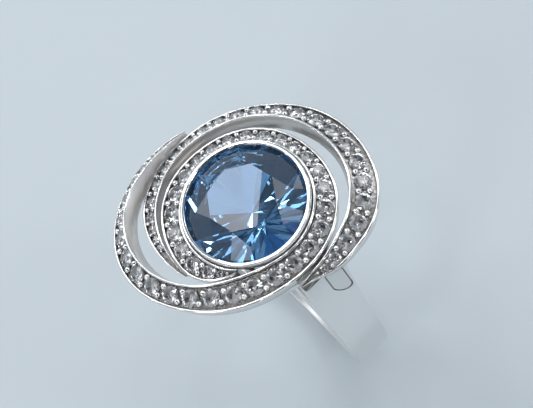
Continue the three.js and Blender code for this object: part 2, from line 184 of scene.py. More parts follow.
# Round brilliant proportions, as parts of the girdle's diameter.
TABLE_RATIO = 0.56
CROWN_RATIO = 0.15
PAVILION_RATIO = 0.425
GIRDLE_RATIO = 0.02
STAR_REACH = 0.48          # of the way out from the table to the girdle
STAR_DROP = 0.56           # of the crown's height that is left there
MAIN_RADIUS = 0.22         # of the girdle's radius, where the lower facets meet
MAIN_DROP = 0.79           # of the pavilion's depth, there

CLOUD_SCALE = 900.0        # of the wear on the metal, per metre
FINE_SCALE = 3500.0        # of its fine unevenness

CAMERA_AZIMUTH = 80.0
CAMERA_ELEVATION = 63.0
CAMERA_ROLL = 34.9
CAMERA_DISTANCE = 110.0
CAMERA_LENS = 98.1         # millimetres, for the 36 mm sensor
AIM_RIGHT = 1.65           # from the middle of the bezel's lip, in the picture's plane
AIM_UP = -0.13

# The room: colours at the horizon, part of the way up and overhead, and a dark patch.
ROOM_LOW = (0.62, 0.67, 0.71)
ROOM_MIDDLE = (0.62, 0.67, 0.72)
ROOM_HIGH = (0.22, 0.25, 0.29)
ROOM_TURN = 0.45
ROOM_STRENGTH = 0.85
DARK_HEADING = (80, 70)
DARK_INNER = 22            # degrees from its middle
DARK_OUTER = 42
DARK_SHARE = 0.12
FLOOR_COLOR = (0.64, 0.705, 0.748)
FLOOR_HALF_SIZE = 600
FLOOR_GAP = 0.02

WHITE = (1.0, 1.0, 1.0)
# Each has (azimuth, elevation), turn, (width, height), radiance and colour. The table of
# the centre stone reflects the first one, whose edge crosses the table.
SOFT_BOXES = [
    ((271.0, 54.3), 40.8, (150, 150), 3.6, WHITE),
    ((200, 50), 0, (180, 95), 2.6, WHITE),
    ((20, 34), 0, (95, 190), 2.2, (0.94, 0.97, 1.0)),
]
LAMP_DISTANCE = 420
LAMP_TARGET_HEIGHT = 13
# Upright strips that stand round the ring and give the metal and facets their contrast.
STRIP_HEADINGS = (20, 140, 180, 260, 300)
STRIP_ELEVATION = 34
STRIP_SIZE = (100, 240)
STRIP_RADIANCE = 1.5
# Small bright lamps that make the stones sparkle, spread evenly round the sky.
SPARKS = 22
SPARK_SIZE = (17, 17)
SPARK_RADIANCE = 26.0
SPARK_ELEVATIONS = (32, 80)
GOLDEN_ANGLE = 137.5


# ---------- meshes ----------

def make_piece(name, vertices, faces, materials, slot, replaces=(), sharp=40.0, face_materials=None):
    """Object from vertices in millimetres, riding on the ring. Its edges are sharp above
    an angle in degrees, and with sharp None all of them are."""
    mesh = bpy.data.meshes.new(name)
    mesh.from_pydata([Vector(v) * MM for v in vertices], [], faces)
    mesh.validate()
    for material in materials:
        mesh.materials.append(material)
    if face_materials is not None:
        mesh.polygons.foreach_set("material_index", face_materials)
    mesh.polygons.foreach_set("use_smooth", [sharp is not None] * len(mesh.polygons))
    if sharp is not None:
        mesh.set_sharp_from_angle(angle=math.radians(sharp))
    mesh.update()
    piece = bpy.data.objects.new(name, mesh)
    bpy.context.scene.collection.objects.link(piece)
    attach(piece, "root")
    for node in replaces:
        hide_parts(node)
    return piece


def loft_faces(rows, size, first=0, closed=False):
    """Quads of a tube of rows of points, with both ends closed unless the tube is."""
    faces = []
    for row in range(rows if closed else rows - 1):
        here = first + row * size
        there = first + ((row + 1) % rows) * size
        for i in range(size):
            j = (i + 1) % size
            faces.append((here + i, here + j, there + j, there + i))
    if not closed:
        faces.append(tuple(first + i for i in reversed(range(size))))
        faces.append(tuple(first + (rows - 1) * size + i for i in range(size)))
    return faces


def turned(profile, segments):
    """Vertices and faces of a round body from a closed profile of (radius, height)."""
    vertices = []
    for i in range(segments):
        angle = 2 * math.pi * i / segments
        vertices += [(r * math.cos(angle), r * math.sin(angle), z) for r, z in profile]
    return vertices, loft_faces(segments, len(profile), closed=True)


# ---------- materials ----------

def principled(name, color, roughness, metallic=0.0):
    """New material with its shader and node tree."""
    material = bpy.data.materials.new(name)
    material.use_nodes = True
    shader = material.node_tree.nodes["Principled BSDF"]
    shader.inputs["Base Color"].default_value = (*color, 1.0)
    shader.inputs["Roughness"].default_value = roughness
    shader.inputs["Metallic"].default_value = metallic
    return material, shader, material.node_tree


def silver(name, color, smoothest, roughest, scratch, relief=0.02):
    """Metal with faint cloudy wear and fine unevenness, its relief in millimetres."""
    material, shader, tree = principled(name, color, smoothest, 1.0)
    nodes, links = tree.nodes, tree.links
    place = nodes.new("ShaderNodeTexCoord")
    cloud = nodes.new("ShaderNodeTexNoise")
    cloud.inputs["Scale"].default_value = CLOUD_SCALE
    cloud.inputs["Detail"].default_value = 3.0
    spread = nodes.new("ShaderNodeMapRange")
    spread.inputs["To Min"].default_value = smoothest
    spread.inputs["To Max"].default_value = roughest
    links.new(place.outputs["Object"], cloud.inputs["Vector"])
    links.new(cloud.outputs["Fac"], spread.inputs["Value"])
    links.new(spread.outputs["Result"], shader.inputs["Roughness"])
    fine = nodes.new("ShaderNodeTexNoise")
    fine.inputs["Scale"].default_value = FINE_SCALE
    fine.inputs["Detail"].default_value = 2.0
    bump = nodes.new("ShaderNodeBump")
    bump.inputs["Strength"].default_value = scratch
    bump.inputs["Distance"].default_value = relief * MM
    links.new(place.outputs["Object"], fine.inputs["Vector"])
    links.new(fine.outputs["Fac"], bump.inputs["Height"])
    links.new(bump.outputs["Normal"], shader.inputs["Normal"])
    return material


def gem(name, color, index, clearness):
    """Clear or tinted stone: every facet takes the tint once on the way in or out."""
    material, shader, _ = principled(name, color, 0.0)
    shader.inputs["Transmission Weight"].default_value = clearness
    shader.inputs["IOR"].default_value = index
    return material


polished = silver("polished_silver", (0.86, 0.857, 0.855), 0.04, 0.12, 0.1, 0.006)
# Dark copy of the silver for the channel floors and the shank's grooves: its darkness is painted shade
# in these recesses, not the metal's own colour.
painted_shade_metal = silver("painted_shade_silver", (0.30, 0.29, 0.285), 0.16, 0.34, 0.8, 0.06)
walls = silver("wall_silver", (0.82, 0.805, 0.79), 0.2, 0.26, 0.08, 0.004)
inside_walls = silver("inside_wall_silver", (0.80, 0.785, 0.77), 0.30, 0.36, 0.06, 0.004)
satin = silver("satin_silver", (0.80, 0.797, 0.795), 0.30, 0.42, 0.3)
blue_stone = gem("blue_stone", (0.20, 0.45, 0.78), 1.70, 0.96)
clear_stone = gem("clear_stone", (0.98, 0.985, 1.0), 2.15, 1.0)


# ---------- stones ----------

def brilliant(diameter):
    """Round brilliant with its girdle at z = 0: table, stars, kites, upper and lower
    girdle facets and pavilion mains, eight of each or sixteen."""
    radius = diameter / 2
    table_height = diameter * CROWN_RATIO
    girdle = diameter * GIRDLE_RATIO / 2
    depth = diameter * PAVILION_RATIO

    def ring(count, r, z, turn=0.0):
        step = 2 * math.pi / count
        return [(r * math.cos((i + turn) * step), r * math.sin((i + turn) * step), z)
                for i in range(count)]

    star_radius = radius * (TABLE_RATIO + STAR_REACH * (1 - TABLE_RATIO))
    star_height = girdle + (table_height - girdle) * STAR_DROP
    rings = [
        ring(8, radius * TABLE_RATIO, table_height, 0.5),
        ring(8, star_radius, star_height),
        ring(16, radius, girdle),
        ring(16, radius, -girdle),
        ring(8, radius * MAIN_RADIUS, -girdle - (depth - girdle) * MAIN_DROP, 0.5),
        [(0, 0, -depth)],
    ]
    firsts = np.cumsum([0] + [len(points) for points in rings[:-1]]).tolist()
    table, star, upper, lower, main, culet = firsts
    faces = [tuple(table + i for i in range(8))]
    for i in range(8):
        after = (i + 1) % 8
        before = (i - 1) % 8
        half = 2 * i + 1
        half_before = (2 * i - 1) % 16
        faces += [
            (table + before, star + i, table + i),
            (table + i, star + i, upper + half, star + after),
            (star + i, upper + 2 * i, upper + half),
            (star + i, upper + half_before, upper + 2 * i),
            (lower + 2 * i, main + i, lower + half),
            (lower + 2 * i, lower + half_before, main + before),
            (lower + 2 * i, main + before, culet, main + i),
        ]
    for i in range(16):
        after = (i + 1) % 16
        faces.append((upper + i, lower + i, lower + after, upper + after))
    return [point for points in rings for point in points], faces


def stone_place(node):
    """Girdle centre, upward axis and diameter of a CAD stone, in millimetres."""
    points = np.array([v.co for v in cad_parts[node].data.vertices]) / MM
    points = np.unique(points.round(4), axis=0)
    spread = points - points.mean(axis=0)
    axis = np.linalg.svd(spread, full_matrices=False)[2][2]
    heights = spread @ axis
    if abs(heights.max()) > abs(heights.min()):
        axis = -axis
        heights = -heights
    culet = points[heights.argmin()]
    from_axis = points - culet - np.outer((points - culet) @ axis, axis)
    diameter = 2 * np.linalg.norm(from_axis, axis=1).max()
    return Vector(culet + axis * diameter * PAVILION_RATIO), Vector(axis), diameter


def set_stone(name, place, turn, material, slot, replaces=()):
    """Brilliant at a place, turned round its own axis."""
    centre, axis, diameter = place
    vertices, faces = brilliant(diameter)
    pose = Matrix.Translation(centre) @ axis.to_track_quat("Z", "Y").to_matrix().to_4x4()
    pose = pose @ Matrix.Rotation(turn, 4, "Z")
    placed = [pose @ Vector(v) for v in vertices]
    return make_piece(name, placed, faces, [material], slot, replaces, sharp=None)


# ---------- bands ----------

def spline_through(turns, values):
    """Natural cubic spline through the stations, as a function of the turn."""
    turns = np.array(turns, float)
    values = np.array(values, float)
    count = len(turns)
    gaps = np.diff(turns)
    slopes = np.diff(values) / gaps
    matrix = np.eye(count)
    right = np.zeros(count)
    for i in range(1, count - 1):
        matrix[i, i - 1:i + 2] = gaps[i - 1], 2 * (gaps[i - 1] + gaps[i]), gaps[i]
        right[i] = 6 * (slopes[i] - slopes[i - 1])
    bend = np.linalg.solve(matrix, right)

    def value(turn):
        turn = np.asarray(turn, float)
        i = np.clip(np.searchsorted(turns, turn) - 1, 0, count - 2)
        a = (turns[i + 1] - turn) / gaps[i]
        b = 1 - a
        cubic = (a ** 3 - a) * bend[i] + (b ** 3 - b) * bend[i + 1]
        return a * values[i] + b * values[i + 1] + cubic * gaps[i] ** 2 / 6

    return value


class Band:
    """A band's rims, directions, width and depth at any turns, as arrays."""

    def __init__(self, spec):
        stations = spec["stations"]
        turns = [s[0] for s in stations]
        self.spec = spec
        self.start, self.end = turns[0], turns[-1]
        self.curves = [spline_through(turns, [s[side][k] for s in stations])
                       for side in (1, 2) for k in (0, 1)]

    def at(self, turn):
        turn = np.atleast_1d(np.asarray(turn, float))
        inner_r, inner_z, outer_r, outer_z = (curve(turn) for curve in self.curves)
        azimuth = np.radians(turn) * self.spec["direction"]
        outward = np.stack([np.cos(azimuth), np.sin(azimuth), 0 * azimuth], axis=1)
        up = np.array([0.0, 0.0, 1.0])
        inner = outward * inner_r[:, None] + up * inner_z[:, None]
        outer = outward * outer_r[:, None] + up * outer_z[:, None]
        across = outer - inner
        width = np.linalg.norm(across, axis=1)
        across /= width[:, None]
        normal = -outward * across[:, 2:3] + up * (across * outward).sum(axis=1)[:, None]
        wall = up + (normal - up) * BAND_LEAN
        wall /= np.linalg.norm(wall, axis=1)[:, None]
        tip = np.minimum(turn - self.start, self.end - turn) / self.spec["tip_taper"]
        depth = BAND_TIP_DEPTH + (BAND_DEPTH - BAND_TIP_DEPTH) * np.clip(tip, 0, 1)
        return {"inner": inner, "outer": outer, "across": across, "normal": normal,
                "wall": wall, "width": width, "depth": depth, "middle": (inner + outer) / 2}

    def even_turns(self, step):
        """Turns that are one step apart along the middle of the band."""
        fine = np.linspace(self.start, self.end, 4000)
        middle = self.at(fine)["middle"]
        run = np.concatenate([[0], np.cumsum(np.linalg.norm(np.diff(middle, axis=0), axis=1))])
        count = int(run[-1] / step)
        return np.interp(np.linspace(0, run[-1], count), run, fine)


def rim_width(width):
    """Width of each rim where the band has a given width."""
    return np.minimum(BAND_RIM, BAND_RIM_SHARE * width)


def row_of_stones(band):
    """Places of the CAD stones of a band, then smaller ones on into both of its tips.
    Each is (node or None, turn, (centre, axis, diameter))."""
    spec = band.spec
    nodes = sorted(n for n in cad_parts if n.startswith(spec["stones"]))
    row = []
    turn = band.start
    for node in nodes:
        place = stone_place(node)
        azimuth = math.degrees(math.atan2(place[0].y, place[0].x)) * spec["direction"]
        turn += (azimuth - turn) % 360
        row.append((node, turn, place))
    for side in (1, -1):
        end = row[-1] if side > 0 else row[0]
        turn, last = end[1], end[2]
        while band.start < turn < band.end:
            turn += PAVE_TIP_STEP * side
            here = band.at(turn)
            room = here["width"][0] - 2 * (rim_width(here["width"][0]) + PAVE_SIDE_GAP)
            diameter = min(room, last[2])
            middle = Vector(here["middle"][0]) - Vector(here["normal"][0]) * PAVE_SINK
            if diameter < PAVE_SMALLEST:
                break
            if (middle - last[0]).length >= (diameter + last[2]) / 2 + PAVE_TIP_SPACE:
                last = (middle, Vector(here["normal"][0]), diameter)
                row.insert(len(row) if side > 0 else 0, (None, turn, last))
    return row


def build_band(band, row):
    """Channel with rounded rims, a floor, and a conical seat under each stone.

    Sections are (across from the inner rim, height over the rims), one row for each turn.
    """
    turns = band.even_turns(BAND_STEP)
    here = band.at(turns)
    width, depth = here["width"][:, None], here["depth"][:, None]
    rim = rim_width(width)
    edge = np.minimum(BAND_EDGE, 0.3 * rim)
    foot = np.minimum(BAND_FOOT, 0.25 * width)
    floor = np.minimum(FLOOR_DEPTH, depth - BAND_LEAST_METAL)
    zero = 0 * width

    def rim_points(sign, origin):
        """Rounded top of one rim, from the outside of the band inwards."""
        return [
            (origin, -2.0 * edge),
            (origin + sign * 0.25 * edge, -0.8 * edge),
            (origin + sign * edge, -0.1 * edge),
            (origin + sign * rim / 2, zero),
            (origin + sign * (rim - edge), -0.1 * edge),
            (origin + sign * (rim - 0.25 * edge), -0.8 * edge),
            (origin + sign * rim, -2.0 * edge),
            (origin + sign * (rim + FLOOR_TAPER), -floor),
        ]

    left = rim_points(1, zero)
    right = rim_points(-1, width)
    shares = np.linspace(0, 1, FLOOR_POINTS + 2)[1:-1]
    floor_sides = (rim + FLOOR_TAPER) + shares[None, :] * (width - 2 * (rim + FLOOR_TAPER))
    floor_heights = -floor + 0 * floor_sides
    points = here["inner"][:, None, :] + here["across"][:, None, :] * floor_sides[:, :, None]
    under_stone = np.zeros(floor_sides.shape, bool)
    for _, _, (centre, axis, diameter) in row:
        offset = points - np.array(centre)
        height = offset @ np.array(axis)
        flat = np.linalg.norm(offset - height[:, :, None] * np.array(axis), axis=2)
        radius = diameter / 2
        seat = -PAVE_SINK - (radius - flat) * 2 * PAVILION_RATIO - SEAT_GAP
        below = (flat < radius) & (np.abs(height) < radius)
        under_stone |= below
        floor_heights = np.where(below, np.minimum(floor_heights, seat), floor_heights)
    floor_heights = np.maximum(floor_heights, BAND_LEAST_METAL - depth)

    inner_wall = [(foot * 0.3, foot * 0.3 - depth), (zero, foot - depth)]
    outer_wall = [(width, foot - depth), (width - foot * 0.3, foot * 0.3 - depth)]
    underside = [(width - foot, -depth), (foot, -depth)]
    channel_floor = [(floor_sides[:, i:i + 1], floor_heights[:, i:i + 1])
                     for i in range(FLOOR_POINTS)]
    outline = inner_wall + left + channel_floor + right[::-1] + outer_wall + underside
    size = len(outline)
    section = np.stack([np.concatenate(point, axis=1) for point in outline], axis=1)
    vertices = (here["inner"][:, None, :] + here["across"][:, None, :] * section[:, :, 0:1]
                + here["wall"][:, None, :] * section[:, :, 1:2])
    if band.spec["direction"] > 0:
        vertices = vertices[::-1]
    faces = [tuple(reversed(f)) for f in loft_faces(len(turns), size)]

    # The floor of the channel and the inner slopes of its rims get the dark silver, painted shade
    # between the stones; the seats under the stones keep the brighter satin.
    materials = [polished, painted_shade_metal, satin, walls, inside_walls]
    rims, channel, seats, outside, inside = range(len(materials))
    floor_start = len(inner_wall + left)
    floor_end = floor_start + FLOOR_POINTS
    in_seat = under_stone[:-1, :-1] & under_stone[1:, 1:]
    if band.spec["direction"] > 0:
        in_seat = in_seat[::-1]
    finish = np.full((len(turns) - 1, size), rims)
    finish[:, floor_start - 2:floor_end + 1] = channel
    finish[:, floor_start:floor_end - 1][in_seat] = seats
    finish[:, :len(inner_wall)] = inside
    finish[:, floor_end + len(right) - 1:] = outside
    return make_piece(band.spec["node"] + "_channel", vertices.reshape(-1, 3), faces, materials,
                      "silver", [band.spec["node"]], 50.0, finish.ravel().tolist() + [outside, outside])


def bead(radius, height):
    """Round-topped grain of metal: a dome on a slightly flared stem, top at z = 0."""
    segments, rings = 14, 6
    profile = []
    for i in range(rings):
        angle = math.radians(BEAD_DOME) * (i + 1) / rings
        profile.append((radius * math.sin(angle), radius * (math.cos(angle) - 1)))
    profile.append((radius * BEAD_FLARE, -height))
    around = [2 * math.pi * i / segments for i in range(segments)]
    vertices = [(0, 0, 0)]
    for r, z in profile:
        vertices += [(r * math.cos(a), r * math.sin(a), z) for a in around]
    faces = [(0, 1 + i, 1 + (i + 1) % segments) for i in range(segments)]
    for k in range(len(profile) - 1):
        here, there = 1 + k * segments, 1 + (k + 1) * segments
        for i in range(segments):
            j = (i + 1) % segments
            faces.append((here + i, there + i, there + j, here + j))
    last = 1 + (len(profile) - 1) * segments
    faces.append(tuple(last + i for i in reversed(range(segments))))
    return vertices, faces


def build_beads(band, row):
    """A pair of beads between each two stones, and one before the first and after the last."""
    vertices, faces = [], []

    def add(turn, side, size):
        here = band.at(turn)
        up = Vector(here["normal"][0])
        spot = Vector(here["middle"][0]) + Vector(here["across"][0]) * side + up * BEAD_TOP
        pose = Matrix.Translation(spot) @ up.to_track_quat("Z", "Y").to_matrix().to_4x4()
        shape, shape_faces = bead(BEAD_RADIUS * size, BEAD_TOP + FLOOR_DEPTH + BEAD_ROOT)
        first = len(vertices)
        vertices.extend(pose @ Vector(v) for v in shape)
        faces.extend(tuple(first + i for i in face) for face in shape_faces)

    for (_, turn_a, a), (_, turn_b, b) in zip(row, row[1:]):
        size = (a[2] + b[2]) / 2
        for sign in (-1, 1):
            add((turn_a + turn_b) / 2, sign * BEAD_SIDE * size, size)
    for (_, end_turn, end), (_, next_turn, _) in ((row[0], row[1]), (row[-1], row[-2])):
        turn = end_turn + (end_turn - next_turn) * BEAD_PAST_END
        if band.start + BEAD_CLEAR < turn < band.end - BEAD_CLEAR:
            add(turn, 0.0, end[2])
    return make_piece(band.spec["node"] + "_beads", vertices, faces, [polished], "silver")


# ---------- bezel, basket, shank ----------

def rounded(profile, corners):
    """Profile of (radius, height) with the named corners rounded by short arcs."""
    result = []
    count = len(profile)
    for i, point in enumerate(profile):
        radius = corners.get(i)
        if not radius:
            result.append(point)
            continue
        here = Vector(point)
        before = (Vector(profile[i - 1]) - here).normalized()
        after = (Vector(profile[(i + 1) % count]) - here).normalized()
        a = here + before * radius
        b = here + after * radius
        steps = 4
        for k in range(steps + 1):
            t = k / steps
            result.append(tuple(a * (1 - t) ** 2 + here * 2 * t * (1 - t) + b * t ** 2))
    return result


def build_bezel():
    """Conical cup with a ledge under the girdle and a thin lip that leans in over it."""
    low, high = (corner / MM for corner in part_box("bezel_cup"))
    centre, _, diameter = stone_place("centre_stone")
    girdle = centre.z
    radius = diameter / 2
    outer, top, bottom = high.x, high.z, low.z
    ledge = girdle - BEZEL_LEDGE
    segments = 192
    profile = [
        (BEZEL_FOOT - BEZEL_WALL, bottom), (BEZEL_FOOT, bottom),
        (outer - 0.9, ledge - 1.35), (outer - 0.6, ledge - 0.6), (outer - 0.25, ledge),
        (outer, girdle), (outer, top - 0.2), (outer - 0.09, top), (radius - 0.17, top - 0.03),
        (radius + 0.03, girdle + 0.2), (radius + 0.03, girdle - 0.12),
        (radius - 0.35, ledge - 0.12),
    ]
    profile = rounded(profile, {1: 0.1, 3: 0.2, 4: 0.2, 6: 0.06, 7: 0.06, 8: 0.05})
    vertices, faces = turned(profile, segments)
    return make_piece("bezel", vertices, faces, [polished], "silver", ["bezel_cup"])


def build_basket():
    """Flat round base and four posts that lean out to the underside of the spiral band."""
    low, high = (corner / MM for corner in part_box("gallery_basket"))
    bottom, top = low.z, low.z + BASKET_THICKNESS
    profile = [(BASKET_INNER, bottom), (high.x, bottom), (high.x, top), (BASKET_INNER, top)]
    segments = 128
    vertices, faces = turned(rounded(profile, {0: 0.12, 1: 0.18, 2: 0.18, 3: 0.12}), segments)
    sides = 32
    for azimuth in POST_AZIMUTHS:
        turn = Matrix.Rotation(math.radians(azimuth), 3, "Z")
        foot = turn @ Vector((POST_FOOT, 0, top - 0.2))
        head = turn @ Vector((POST_HEAD, 0, high.z + 0.1))
        lean = (head - foot).to_track_quat("Z", "Y")
        first = len(vertices)
        for share, radius in POST_RADII:
            middle = foot.lerp(head, share)
            for i in range(sides):
                angle = 2 * math.pi * i / sides
                around = Vector((math.cos(angle), math.sin(angle), 0)) * radius
                vertices.append(middle + lean @ around)
        faces += loft_faces(len(POST_RADII), sides, first)
    return make_piece("basket", vertices, faces, [polished], "silver", ["gallery_basket"])


def bar_outline(width, thickness):
    """Rounded section of the shank, as (sideways, outwards), anticlockwise."""
    outline = []
    steps = 5
    for x, y, start in ((1, -1, -90), (1, 1, 0), (-1, 1, 90), (-1, -1, 180)):
        for k in range(steps + 1):
            angle = math.radians(start + 90 * k / steps)
            outline.append((x * (width / 2 - SHANK_EDGE) + SHANK_EDGE * math.cos(angle),
                            y * (thickness / 2 - SHANK_EDGE) + SHANK_EDGE * math.sin(angle)))
    return outline


def bar_along(rows):
    """Bar through rows of (point, outward, shift, width, thickness) in the XZ plane."""
    vertices = []
    for point, outward, shift, width, thickness in rows:
        for side, height in bar_outline(width, thickness):
            spot = point + outward * height
            vertices.append((spot.x, shift + side, spot.y))
    size = len(bar_outline(1.0, 1.0))
    return vertices, [tuple(reversed(f)) for f in loft_faces(len(rows), size)]


def hoop_row(angle, outer, thickness):
    """Row of the hoop at an angle from its bottom, positive towards +X."""
    share = min(abs(angle) / SHOULDER_START, 1.0)
    share = share * share * (3 - 2 * share)
    outward = Vector((math.sin(math.radians(angle)), -math.cos(math.radians(angle))))
    width = SHANK_WIDTH_BOTTOM + (SHANK_WIDTH_SIDE - SHANK_WIDTH_BOTTOM) * share
    return outward * (outer - thickness / 2), outward, 0.0, width, thickness


def shoulder_rows(inset=0.0):
    """Shoulder on the +X side: leaves the hoop along its tangent and rises to the bands.
    It can be moved in by an inset, to measure depths from its outer face."""
    angle = math.radians(SHOULDER_START)
    radius = FINGER_RADIUS + SHANK_THICKNESS - SHOULDER_THICKNESS / 2
    start = Vector((math.sin(angle), -math.cos(angle))) * radius
    end = Vector(SHOULDER_TOP)
    reach = (end - start).length / 3
    handles = (start, start + Vector((math.cos(angle), math.sin(angle))) * reach,
               end - Vector((0, reach)), end)
    rows = []
    for i in range(SHOULDER_STEPS + 1):
        t = i / SHOULDER_STEPS
        weights = ((1 - t) ** 3, 3 * t * (1 - t) ** 2, 3 * t * t * (1 - t), t ** 3)
        point = sum((h * w for h, w in zip(handles, weights)), Vector((0, 0)))
        slope = ((handles[1] - handles[0]) * (1 - t) ** 2
                 + (handles[2] - handles[1]) * 2 * t * (1 - t) + (handles[3] - handles[2]) * t * t)
        tangent = slope.normalized()
        outward = Vector((tangent.y, -tangent.x))
        width = SHANK_WIDTH_SIDE + (SHANK_WIDTH_TOP - SHANK_WIDTH_SIDE) * t
        rows.append((point - outward * inset, outward, SHANK_BYPASS * t, width, SHOULDER_THICKNESS))
    return rows


def outer_bar():
    """Hoop and both shoulders in one smooth run, from shoulder top to shoulder top."""
    outer = FINGER_RADIUS + SHANK_THICKNESS
    rising = shoulder_rows()
    other = [(Vector((-point.x, point.y)), Vector((-outward.x, outward.y)), -shift, *size)
             for point, outward, shift, *size in reversed(rising)]
    steps = round(2 * SHOULDER_START / HOOP_STEP)
    hoop = []
    for i in range(1, steps):
        angle = SHOULDER_START * (2 * i / steps - 1)
        thin = (abs(angle) - HOOP_THINS_FROM) / (SHOULDER_START - HOOP_THINS_FROM)
        thin = min(max(thin, 0.0), 1.0)
        thickness = SHANK_THICKNESS + (SHOULDER_THICKNESS - SHANK_THICKNESS) * thin
        hoop.append(hoop_row(angle, outer, thickness))
    return bar_along(other + hoop + rising)


def inner_arc():
    """Upper part of the hoop on the +X side, which goes on round the finger inside."""
    outer = FINGER_RADIUS + SHANK_THICKNESS - INNER_ARC_STEP_IN
    steps = round((HOOP_END - HOOP_THINS_FROM) / HOOP_STEP)
    rows = []
    thickness = SHANK_THICKNESS - INNER_ARC_STEP_IN
    for i in range(steps + 1):
        angle = HOOP_THINS_FROM + (HOOP_END - HOOP_THINS_FROM) * i / steps
        point, outward, shift, width, _ = hoop_row(angle, outer, thickness)
        rows.append((point, outward, shift, width - 2 * INNER_ARC_STEP_IN, thickness))
    return bar_along(rows)


def panel_prism(radius, reach):
    """U-shaped prism along X, from inside the +X shoulder to well outside it."""
    above = SHOULDER_TOP[1] + reach + 1
    centre = PANEL_BOTTOM + PANEL_RADIUS
    outline = [(-radius, above), (radius, above)]
    steps = 32
    for k in range(steps + 1):
        angle = -math.pi * k / steps
        outline.append((radius * math.cos(angle), centre + radius * math.sin(angle)))
    rows = [[(x, PANEL_MIDDLE + y, z - PANEL_SKEW * y) for y, z in outline]
            for x in (SHOULDER_TOP[0] - reach / 2, SHOULDER_TOP[0] + reach * 2)]
    return rows[0] + rows[1], [tuple(reversed(f)) for f in loft_faces(2, len(outline))]


def groove_cutter():
    """One prism less a smaller one, and less the shoulder moved in by the groove's depth."""
    moved_in = bar_along(shoulder_rows(GROOVE_DEPTH))
    return combined(panel_prism(PANEL_RADIUS, 1.0),
                    [panel_prism(PANEL_RADIUS - GROOVE_WIDTH, 1.2), moved_in], "DIFFERENCE")


def shank_finish(face, corners, shoulder):
    """Material index of a face of the shank, from its corners and the shoulder's middle line."""
    # The groove's faces get the dark silver, painted shade in the groove; the panel inside it is satin.
    outer_face, satin_face, shaded_groove_face, side_face = range(4)
    spot = Vector((abs(face.center.x), face.center.z)) / MM
    normal = Vector((face.normal.x * math.copysign(1, face.center.x), face.normal.z))
    point, outward = min(shoulder, key=lambda row: (spot - row[0]).length)
    height = (spot - point).dot(outward)
    surface = SHOULDER_THICKNESS / 2 - FLAT_TOLERANCE
    if height > surface - GROOVE_DEPTH and spot.y > PANEL_BOTTOM - 1:
        turn = math.copysign(1, face.center.x)
        places = [(turn * corner.y / MM - PANEL_MIDDLE,
                   corner.z / MM - PANEL_BOTTOM - PANEL_RADIUS) for corner in corners]
        reach = max(math.hypot(y, min(z + PANEL_SKEW * y, 0.0)) for y, z in places)
        on_top = height > surface and normal.dot(outward) > 0.7
        if on_top and reach < PANEL_RADIUS - GROOVE_WIDTH + PANEL_TOLERANCE:
            return satin_face
        if not on_top and reach < PANEL_RADIUS + PANEL_TOLERANCE:
            return shaded_groove_face
    inward = normal.dot(spot) < -0.3 * spot.length
    above_shoulder = spot.y > -spot.length * math.cos(math.radians(SHOULDER_START))
    on_arc = spot.length < FINGER_RADIUS + SHANK_THICKNESS - INNER_ARC_STEP_IN / 2
    between_bars = above_shoulder and on_arc and abs(face.normal.y) < 0.5
    if inward or between_bars:
        return satin_face
    return side_face if abs(face.normal.y) > 0.9 else outer_face


def outward_faces(mesh):
    """Turns every face of a closed mesh outwards."""
    shape = bmesh.new()
    shape.from_mesh(mesh)
    bmesh.ops.recalc_face_normals(shape, faces=shape.faces)
    shape.to_mesh(mesh)
    shape.free()


def combined(base, others, operation):
    """Base mesh after a boolean with each of the others, all (vertices, faces)."""
    def temporary(shape):
        mesh = bpy.data.meshes.new("shape")
        mesh.from_pydata([Vector(v) for v in shape[0]], [], shape[1])
        outward_faces(mesh)
        item = bpy.data.objects.new("shape", mesh)
        bpy.context.scene.collection.objects.link(item)
        return item

    item = temporary(base)
    tools = [temporary(other) for other in others]
    for tool in tools:
        boolean = item.modifiers.new("boolean", "BOOLEAN")
        boolean.operation = operation
        boolean.solver = "EXACT"
        boolean.object = tool
    bpy.context.view_layer.update()
    result = item.evaluated_get(bpy.context.evaluated_depsgraph_get()).to_mesh()
    vertices = [v.co.copy() for v in result.vertices]
    faces = [tuple(p.vertices) for p in result.polygons]
    for spare in [item] + tools:
        mesh = spare.data
        bpy.data.objects.remove(spare)
        bpy.data.meshes.remove(mesh)
    return vertices, faces


def turned_over(shape):
    """The same shape half a turn round Z."""
    return [(-v[0], -v[1], v[2]) for v in shape[0]], shape[1]


def box_shape(low, high):
    """Upright block between two corners, as (vertices, faces)."""
    xs, ys, zs = zip(low, high)
    corners = [(x, y, z) for x in xs for y in ys for z in zs]
    return corners, [(0, 1, 3, 2), (4, 6, 7, 5), (0, 4, 5, 1), (2, 3, 7, 6), (0, 2, 6, 4), (1, 5, 7, 3)]


def build_shank():
    """Hoop with a flat to stand on, and two shoulders that pass to either side."""
    groove = groove_cutter()
    arc = inner_arc()
    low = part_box("shank")[0] / MM
    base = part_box("gallery_basket")[0] / MM
    under_foot = box_shape((-FOOT_FLAT, -FOOT_FLAT, low.z - 2), (FOOT_FLAT, FOOT_FLAT, low.z))
    under_basket = box_shape((-BASKET_ROOM, -BASKET_ROOM, base.z), (BASKET_ROOM, BASKET_ROOM, 14))
    shape = combined(outer_bar(), [arc, turned_over(arc)], "UNION")
    shape = combined(shape, [groove, turned_over(groove), under_foot, under_basket], "DIFFERENCE")
    # The third material, the dark silver, is painted shade in the grooves round the panels.
    materials = [polished, satin, painted_shade_metal, inside_walls]
    shank = make_piece("shank_bar", *shape, materials, "silver", ["shank"], 30.0)
    shoulder = [(point, outward) for point, outward, *_ in shoulder_rows()]
    for face in shank.data.polygons:
        corners = [shank.data.vertices[v].co for v in face.vertices]
        face.material_index = shank_finish(face, corners, shoulder)
    return shank


